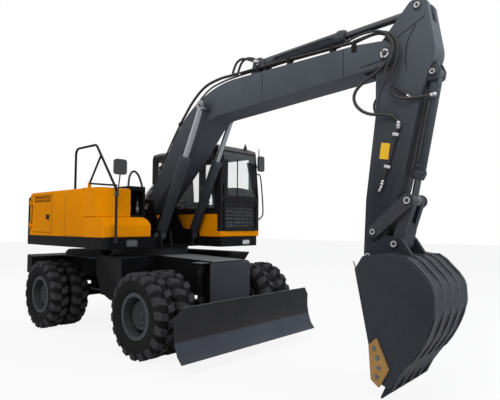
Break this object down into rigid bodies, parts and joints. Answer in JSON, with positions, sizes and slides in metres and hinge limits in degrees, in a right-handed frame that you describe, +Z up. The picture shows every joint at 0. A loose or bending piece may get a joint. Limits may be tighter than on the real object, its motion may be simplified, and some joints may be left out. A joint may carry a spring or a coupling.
{
  "type": "wheeled excavator",
  "caption": "Wheeled excavator: twin-tyred chassis with dozer blade, slewing upper works with cab, and boom, stick and bucket moved by hydraulic cylinders.",
  "frame": {"origin": "on the ground under the middle of the machine's overall length and width", "axes": "+X forward along the boom, +Y to the machine's left, +Z up"},
  "size_m": [6.9329, 2.599, 3.8491],
  "materials": {
    "body_paint": "semi-gloss amber-orange enamel",
    "arm_paint": "semi-gloss dark blue-grey enamel",
    "chassis_paint": "satin near-black enamel",
    "cab_paint": "semi-gloss black enamel",
    "rod_chrome": "hard chrome, polished",
    "tyre_rubber": "matt black rubber",
    "rim_paint": "satin dark enamel",
    "ring_steel": "machined, lightly oiled",
    "engine_iron": "painted casting",
    "cab_glazing": "clear, lightly tinted",
    "mirror_plastic": "grained black moulding",
    "seat_fabric": "woven dark cover",
    "dash_plastic": "grained dark moulding"
  },
  "bodies": {
    "chassis": {"chassis_frame": "chassis_paint", "front_axle": "chassis_paint", "rear_axle": "chassis_paint", "slew_ring": "ring_steel", "side_boxes": "chassis_paint", "rear_box": "chassis_paint", "guard_plate": "arm_paint", "gearbox_and_shafts": "chassis_paint", "tail_cover": "chassis_paint", "left_step": "chassis_paint"},
    "knuckle_left": {"knuckle_left": "chassis_paint"},
    "knuckle_right": {"knuckle_right": "chassis_paint"},
    "tie_rod": {"tie_rod": "chassis_paint"},
    "wheel_front_left": {"tyres_front_left": "tyre_rubber", "rim_front_left": "rim_paint"},
    "wheel_front_right": {"tyres_front_right": "tyre_rubber", "rim_front_right": "rim_paint"},
    "wheel_rear_left": {"tyres_rear_left": "tyre_rubber", "rim_rear_left": "rim_paint"},
    "wheel_rear_right": {"tyres_rear_right": "tyre_rubber", "rim_rear_right": "rim_paint"},
    "blade": {"blade": "arm_paint"},
    "blade_barrels": {"blade_barrels": "chassis_paint"},
    "blade_rods": {"blade_rods": "rod_chrome"},
    "upper": {"upper_frame": "chassis_paint", "counterweight": "body_paint", "body_shell": "body_paint", "engine_block": "engine_iron", "tool_box": "body_paint", "tank_block": "body_paint", "valve_cover": "chassis_paint", "cab_base": "body_paint", "cab_frame": "cab_paint", "cab_glass": "cab_glazing", "seat": "seat_fabric", "steering_column": "dash_plastic", "handrail": "cab_paint", "mirrors": "mirror_plastic"},
    "engine_hood": {"engine_hood": "body_paint"},
    "side_door_left": {"side_door_left": "body_paint"},
    "side_door_right": {"side_door_right": "body_paint"},
    "cab_door": {"cab_door": "cab_paint", "cab_door_glass": "cab_glazing"},
    "boom": {"boom": "arm_paint"},
    "boom_barrels": {"boom_barrels": "arm_paint"},
    "boom_rods": {"boom_rods": "rod_chrome"},
    "arm_barrel": {"arm_barrel": "arm_paint"},
    "arm_rod": {"arm_rod": "rod_chrome"},
    "stick": {"stick": "arm_paint"},
    "bucket_barrel": {"bucket_barrel": "arm_paint"},
    "bucket_rod": {"bucket_rod": "rod_chrome"},
    "guide_links": {"guide_links": "arm_paint"},
    "bucket": {"bucket": "arm_paint", "side_cutters": "body_paint"},
    "bucket_link": {"bucket_link": "arm_paint"}
  },
  "joints": [
    {"name": "steer_left", "type": "hinge", "parent": "chassis", "child": "knuckle_left", "pos_m": [0.164, 0.76, 0.5275], "axis": [0, 0, 1], "range_deg": [-28, 28]},
    {"name": "steer_right", "type": "hinge", "parent": "chassis", "child": "knuckle_right", "pos_m": [0.164, -0.76, 0.5275], "axis": [0, 0, 1], "range_deg": [-28.2, 28.2]},
    {"name": "tie_rod_ball", "type": "hinge", "parent": "knuckle_left", "child": "tie_rod", "pos_m": [0.044, 0.76, 0.4255], "axis": [0, 0, 1], "range_deg": [-28.2, 28.2]},
    {"name": "spin_front_left", "type": "hinge", "parent": "knuckle_left", "child": "wheel_front_left", "pos_m": [0.164, 0.941, 0.5275], "axis": [0, 1, 0], "continuous": true},
    {"name": "spin_front_right", "type": "hinge", "parent": "knuckle_right", "child": "wheel_front_right", "pos_m": [0.164, -0.941, 0.5275], "axis": [0, 1, 0], "continuous": true},
    {"name": "spin_rear_left", "type": "hinge", "parent": "chassis", "child": "wheel_rear_left", "pos_m": [-2.436, 0.941, 0.5275], "axis": [0, 1, 0], "continuous": true},
    {"name": "spin_rear_right", "type": "hinge", "parent": "chassis", "child": "wheel_rear_right", "pos_m": [-2.436, -0.941, 0.5275], "axis": [0, 1, 0], "continuous": true},
    {"name": "slew", "type": "hinge", "parent": "chassis", "child": "upper", "pos_m": [-1.196, 0, 1.3], "axis": [0, 0, 1], "continuous": true},
    {"name": "boom_lift", "type": "hinge", "parent": "upper", "child": "boom", "pos_m": [-0.986, 0, 1.92], "axis": [0, -1, 0], "range_deg": [-46, 37]},
    {"name": "boom_barrel_swing", "type": "hinge", "parent": "upper", "child": "boom_barrels", "pos_m": [-0.546, 0, 1.48], "axis": [0, -1, 0], "range_deg": [-42.94, 34.58]},
    {"name": "boom_rod_slide", "type": "slide", "parent": "boom_barrels", "child": "boom_rods", "axis": [0.4401, 0, 0.8979], "range_m": [-0.4261, 0.3432]},
    {"name": "arm_swing", "type": "hinge", "parent": "boom", "child": "stick", "pos_m": [2.924, 0, 3.36], "axis": [0, 1, 0], "range_deg": [-83, 28]},
    {"name": "arm_barrel_swing", "type": "hinge", "parent": "boom", "child": "arm_barrel", "pos_m": [1.154, 0, 3.71], "axis": [0, -1, 0], "range_deg": [-1.65, 4.5]},
    {"name": "arm_rod_slide", "type": "slide", "parent": "arm_barrel", "child": "arm_rod", "axis": [0.9994, 0, 0.0336], "range_m": [-0.6395, 0.2171]},
    {"name": "bucket_curl", "type": "hinge", "parent": "stick", "child": "bucket", "pos_m": [2.719, 0, 1.33], "axis": [0, 1, 0], "range_deg": [-3, 155]},
    {"name": "guide_swing", "type": "hinge", "parent": "stick", "child": "guide_links", "pos_m": [2.764, 0, 1.575], "axis": [0, 1, 0], "range_deg": [-2.25, 106.17]},
    {"name": "bucket_link_swing", "type": "hinge", "parent": "bucket", "child": "bucket_link", "pos_m": [2.994, 0, 1.46], "axis": [0, 1, 0], "range_deg": [-88.83, 1.92]},
    {"name": "bucket_barrel_swing", "type": "hinge", "parent": "stick", "child": "bucket_barrel", "pos_m": [3.364, 0, 3.1], "axis": [0, 1, 0], "range_deg": [-0.21, 0.56]},
    {"name": "bucket_rod_slide", "type": "slide", "parent": "bucket_barrel", "child": "bucket_rod", "axis": [-0.1969, 0, -0.9804], "range_m": [-0.0165, 0.7493]},
    {"name": "blade_lift", "type": "hinge", "parent": "chassis", "child": "blade", "pos_m": [0.234, 0, 0.33], "axis": [0, -1, 0], "range_deg": [-17.4, 20]},
    {"name": "blade_barrel_swing", "type": "hinge", "parent": "chassis", "child": "blade_barrels", "pos_m": [0.404, 0, 1.075], "axis": [0, -1, 0], "range_deg": [-2.14, 1.89]},
    {"name": "blade_rod_slide", "type": "slide", "parent": "blade_barrels", "child": "blade_rods", "axis": [0.0596, 0, -0.9982], "range_m": [-0.0727, 0.0635]},
    {"name": "cab_door_hinge", "type": "hinge", "parent": "upper", "child": "cab_door", "pos_m": [-1.361, 1.262, 2.25], "axis": [0, 0, 1], "range_deg": [0, 170]},
    {"name": "side_door_left_hinge", "type": "hinge", "parent": "upper", "child": "side_door_left", "pos_m": [-2.771, 1.262, 1.8], "axis": [0, 0, 1], "range_deg": [0, 110]},
    {"name": "side_door_right_hinge", "type": "hinge", "parent": "upper", "child": "side_door_right", "pos_m": [-2.771, -1.262, 1.8], "axis": [0, 0, -1], "range_deg": [0, 110]},
    {"name": "engine_hood_hinge", "type": "hinge", "parent": "upper", "child": "engine_hood", "pos_m": [-2.711, 0.05, 2.167], "axis": [0, -1, 0], "range_deg": [0, 65]}
  ],
  "couplings": [
    {"joint": "steer_right", "follows": "steer_left", "ratio": 1},
    {"joint": "tie_rod_ball", "follows": "steer_left", "ratio": -1},
    {"joint": "boom_barrel_swing", "follows": "boom_lift", "ratio": 0.92922},
    {"joint": "boom_rod_slide", "follows": "boom_lift", "m_per_rad": 0.52829},
    {"joint": "arm_barrel_swing", "follows": "arm_swing", "ratio": -0.051761},
    {"joint": "arm_rod_slide", "follows": "arm_swing", "m_per_rad": 0.44009},
    {"joint": "guide_swing", "follows": "bucket_curl", "ratio": 0.68365},
    {"joint": "bucket_link_swing", "follows": "bucket_curl", "ratio": -0.57182},
    {"joint": "bucket_barrel_swing", "follows": "bucket_curl", "ratio": 0.002324},
    {"joint": "bucket_rod_slide", "follows": "bucket_curl", "m_per_rad": 0.27625},
    {"joint": "blade_barrel_swing", "follows": "blade_lift", "ratio": -0.097185},
    {"joint": "blade_rod_slide", "follows": "blade_lift", "m_per_rad": -0.20267}
  ]
}
